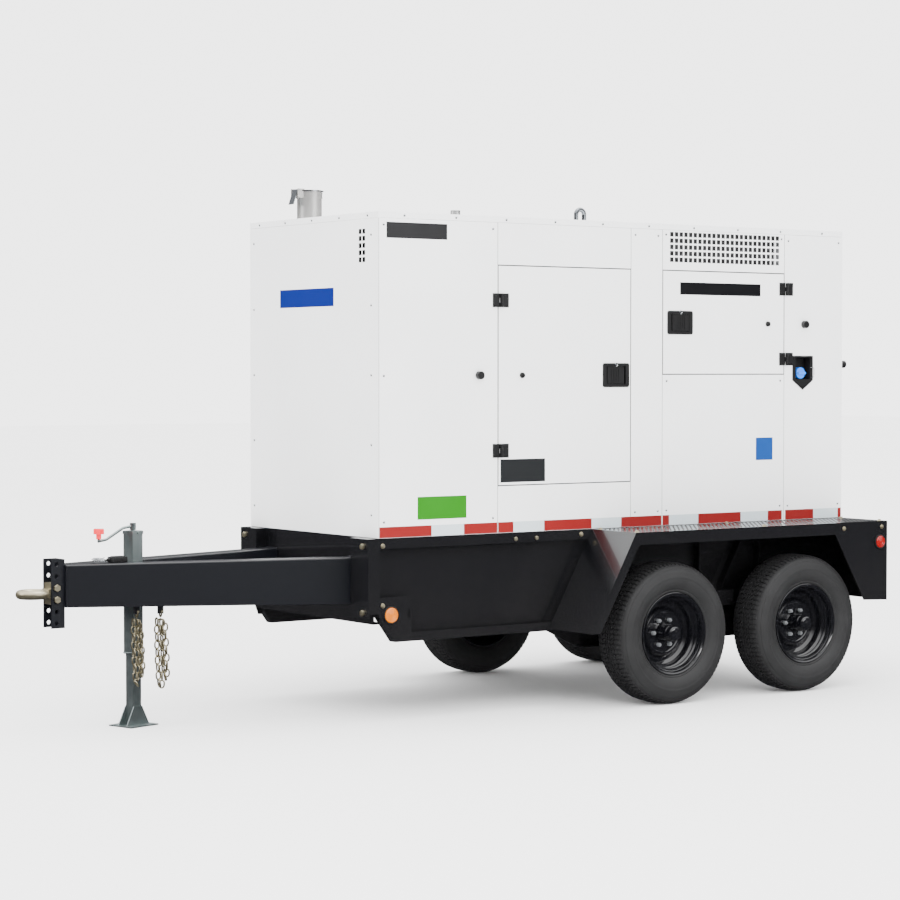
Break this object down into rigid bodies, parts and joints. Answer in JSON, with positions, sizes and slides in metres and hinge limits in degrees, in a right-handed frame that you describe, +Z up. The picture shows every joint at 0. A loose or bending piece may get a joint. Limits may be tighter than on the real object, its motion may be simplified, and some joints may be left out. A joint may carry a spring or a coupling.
{
  "type": "towable generator",
  "caption": "Towable diesel generator: a white sheet-metal enclosure with hinged doors on a black channel base, tandem wheels with fenders, a V drawbar, pintle ring and screw jack.",
  "frame": {"origin": "on the ground under the centre of the overall box", "axes": "+X towards the rear of the trailer (the drawbar points to -X), +Y to the right-hand side when facing forward along the drawbar, +Z up"},
  "size_m": [4.68, 1.92, 2.6112],
  "materials": {
    "white_paint": "gloss",
    "post_steel": "satin",
    "black_paint": "gloss",
    "drawbar_paint": "satin",
    "tank_paint": "satin",
    "gold_zinc": "satin",
    "zinc": "satin",
    "red_plastic": "gloss",
    "black_plastic": "satin",
    "tyre": "matte",
    "rim_paint": "gloss",
    "lamp_lens": "gloss",
    "engine_paint": "satin",
    "generator_paint": "satin",
    "radiator_alloy": "satin",
    "stainless": "satin",
    "bright_chrome": "gloss",
    "panel_grey": "satin",
    "blue_plastic": "gloss"
  },
  "bodies": {
    "trailer": {"air_cleaner": "black_plastic", "alternator": "generator_paint", "axle_beams": "black_paint", "base_frame": "black_paint", "battery": "black_plastic", "breakaway_switch": "black_plastic", "control_panel": "panel_grey", "def_filler": "black_plastic", "door_hinges": "black_plastic", "drawbar": "drawbar_paint", "enclosure_posts": "post_steel", "engine": "engine_paint", "exhaust_system": "stainless", "fenders": "black_paint", "frame_bolts": "gold_zinc", "front_panel": "white_paint", "fuel_tank": "tank_paint", "hitch_ring": "gold_zinc", "inlet_grilles": "white_paint", "jack_tube": "zinc", "leaf_springs": "black_paint", "lifting_eye": "bright_chrome", "marker_lamps": "lamp_lens", "radiator": "radiator_alloy", "rear_panel": "white_paint", "roof_panel": "white_paint", "side_panels_left": "white_paint", "side_panels_right": "white_paint"},
    "front_left_wheel": {"tyre_front_left": "tyre", "wheel_front_left": "rim_paint"},
    "front_right_wheel": {"tyre_front_right": "tyre", "wheel_front_right": "rim_paint"},
    "rear_left_wheel": {"tyre_rear_left": "tyre", "wheel_rear_left": "rim_paint"},
    "rear_right_wheel": {"tyre_rear_right": "tyre", "wheel_rear_right": "rim_paint"},
    "jack_leg": {"jack_leg": "zinc"},
    "jack_crank": {"jack_crank": "zinc"},
    "jack_knob": {"jack_knob": "red_plastic"},
    "chain_left": {"safety_chain_left": "gold_zinc"},
    "chain_right": {"safety_chain_right": "gold_zinc"},
    "front_left_door": {"front_left_door": "white_paint", "front_left_door_hardware": "black_plastic"},
    "front_left_paddle": {"front_left_door_paddle": "black_plastic"},
    "front_right_door": {"front_right_door": "white_paint", "front_right_door_hardware": "black_plastic"},
    "front_right_paddle": {"front_right_door_paddle": "black_plastic"},
    "service_door": {"service_door": "white_paint", "service_door_hardware": "black_plastic"},
    "service_paddle": {"service_door_paddle": "black_plastic"},
    "rear_door": {"rear_door": "white_paint", "rear_door_hardware": "black_plastic"},
    "rear_paddle": {"rear_door_paddle": "black_plastic"},
    "rain_cap": {"rain_cap": "stainless"},
    "cooling_fan": {"cooling_fan": "black_plastic"},
    "coolant_cap": {"coolant_cap": "bright_chrome"},
    "emergency_stop": {"emergency_stop": "red_plastic"},
    "selector_knob": {"selector_knob": "black_plastic"},
    "breaker_handle": {"breaker_handle": "black_plastic"},
    "def_cap": {"def_cap": "blue_plastic"}
  },
  "joints": [
    {"name": "front_left_wheel_spin", "type": "hinge", "parent": "trailer", "child": "front_left_wheel", "pos_m": [0.849, -0.808, 0.359], "axis": [0, 1, 0], "continuous": true},
    {"name": "front_right_wheel_spin", "type": "hinge", "parent": "trailer", "child": "front_right_wheel", "pos_m": [0.849, 0.808, 0.359], "axis": [0, 1, 0], "continuous": true},
    {"name": "rear_left_wheel_spin", "type": "hinge", "parent": "trailer", "child": "rear_left_wheel", "pos_m": [1.751, -0.808, 0.359], "axis": [0, 1, 0], "continuous": true},
    {"name": "rear_right_wheel_spin", "type": "hinge", "parent": "trailer", "child": "rear_right_wheel", "pos_m": [1.751, 0.808, 0.359], "axis": [0, 1, 0], "continuous": true},
    {"name": "jack_crank_turn", "type": "hinge", "parent": "trailer", "child": "jack_crank", "pos_m": [-1.729, 0.02, 0.949], "axis": [0, 0, 1], "range_deg": [0, 14170]},
    {"name": "jack_leg_lift", "type": "slide", "parent": "trailer", "child": "jack_leg", "axis": [0, 0, 1], "range_m": [0, 0.2]},
    {"name": "jack_knob_spin", "type": "hinge", "parent": "jack_crank", "child": "jack_knob", "pos_m": [-1.91, 0.02, 0.91], "axis": [0, 0, 1], "continuous": true},
    {"name": "chain_left_swing", "type": "hinge", "parent": "trailer", "child": "chain_left", "pos_m": [-1.769, -0.088, 0.553], "axis": [0, 1, 0], "range_deg": [-20, 20]},
    {"name": "chain_right_swing", "type": "hinge", "parent": "trailer", "child": "chain_right", "pos_m": [-1.665, -0.13, 0.553], "axis": [0, 1, 0], "range_deg": [-20, 20]},
    {"name": "front_left_door_hinge", "type": "hinge", "parent": "trailer", "child": "front_left_door", "pos_m": [-0.017, -0.605, 1.66], "axis": [0, 0, -1], "range_deg": [0, 170]},
    {"name": "front_left_paddle_pull", "type": "hinge", "parent": "front_left_door", "child": "front_left_paddle", "pos_m": [0.763, -0.593, 1.662], "axis": [0, 0, 1], "range_deg": [0, 35], "stiffness_Nm_per_rad": 1.2, "springref_deg": -11.46},
    {"name": "front_right_door_hinge", "type": "hinge", "parent": "trailer", "child": "front_right_door", "pos_m": [-0.017, 0.605, 1.66], "axis": [0, 0, 1], "range_deg": [0, 170]},
    {"name": "front_right_paddle_pull", "type": "hinge", "parent": "front_right_door", "child": "front_right_paddle", "pos_m": [0.763, 0.593, 1.662], "axis": [0, 0, -1], "range_deg": [0, 35], "stiffness_Nm_per_rad": 1.2, "springref_deg": -11.46},
    {"name": "service_door_hinge", "type": "hinge", "parent": "trailer", "child": "service_door", "pos_m": [1.885, -0.605, 1.934], "axis": [0, 0, 1], "range_deg": [0, 170]},
    {"name": "service_paddle_pull", "type": "hinge", "parent": "service_door", "child": "service_paddle", "pos_m": [1.09, -0.593, 1.934], "axis": [0, 0, -1], "range_deg": [0, 35], "stiffness_Nm_per_rad": 1.2, "springref_deg": -11.46},
    {"name": "rear_door_hinge", "type": "hinge", "parent": "trailer", "child": "rear_door", "pos_m": [2.311, -0.44, 1.69], "axis": [0, 0, -1], "range_deg": [0, 115]},
    {"name": "rear_paddle_pull", "type": "hinge", "parent": "rear_door", "child": "rear_paddle", "pos_m": [2.299, 0.409, 1.72], "axis": [0, 0, 1], "range_deg": [0, 35], "stiffness_Nm_per_rad": 1.2, "springref_deg": -11.46},
    {"name": "rain_cap_flap", "type": "hinge", "parent": "trailer", "child": "rain_cap", "pos_m": [-0.599, 0.372, 2.6042], "axis": [0, -1, 0], "range_deg": [0, 30]},
    {"name": "cooling_fan_spin", "type": "hinge", "parent": "trailer", "child": "cooling_fan", "pos_m": [0.015, 0, 1.48], "axis": [1, 0, 0], "continuous": true},
    {"name": "coolant_cap_turn", "type": "hinge", "parent": "trailer", "child": "coolant_cap", "pos_m": [-0.173, -0.43, 2.455], "axis": [0, 0, 1], "range_deg": [0, 90]},
    {"name": "emergency_stop_push", "type": "slide", "parent": "trailer", "child": "emergency_stop", "axis": [-1, 0, 0], "range_m": [0, 0.005]},
    {"name": "selector_knob_turn", "type": "hinge", "parent": "trailer", "child": "selector_knob", "pos_m": [2.216, -0.2, 2.1], "axis": [1, 0, 0], "range_deg": [-45, 45]},
    {"name": "breaker_handle_throw", "type": "hinge", "parent": "trailer", "child": "breaker_handle", "pos_m": [2.227, 0, 1.65], "axis": [0, 1, 0], "range_deg": [-25, 25]},
    {"name": "def_cap_turn", "type": "hinge", "parent": "trailer", "child": "def_cap", "pos_m": [1.996, -0.58, 1.672], "axis": [0, 1, 0], "range_deg": [0, 90]}
  ],
  "couplings": [
    {"joint": "jack_leg_lift", "follows": "jack_crank_turn", "m_per_rad": 0.00080851}
  ]
}
